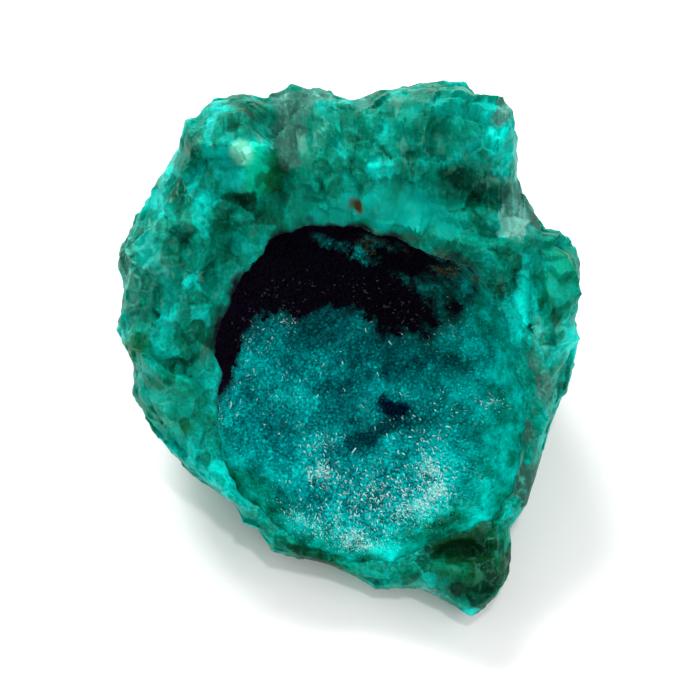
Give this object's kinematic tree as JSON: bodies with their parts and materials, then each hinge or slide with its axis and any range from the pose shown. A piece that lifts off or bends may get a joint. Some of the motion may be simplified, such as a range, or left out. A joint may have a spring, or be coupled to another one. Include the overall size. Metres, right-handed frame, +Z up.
{
  "type": "dioptase crystal",
  "caption": "Loose mineral specimen: a broken lump of glassy green dioptase with an open hollow lined with a crust of tiny crystals.",
  "frame": {"origin": "middle of the box's underside, on the surface that the stone rests on", "axes": "+Z up, the hollow looks up and leans 28 degrees towards -Y, +X to the right seen from the front"},
  "size_m": [0.0468, 0.0486, 0.0357],
  "materials": {
    "massive_dioptase": "glassy broken faces, translucent emerald to turquoise green, with pale grey-green rind",
    "druse_crust": "sugary crust of tiny glassy blue-green crystals, near black under the upper wall"
  },
  "bodies": {
    "root": {"massive_dioptase": "massive_dioptase", "druse_crust": "druse_crust"}
  },
  "joints": []
}
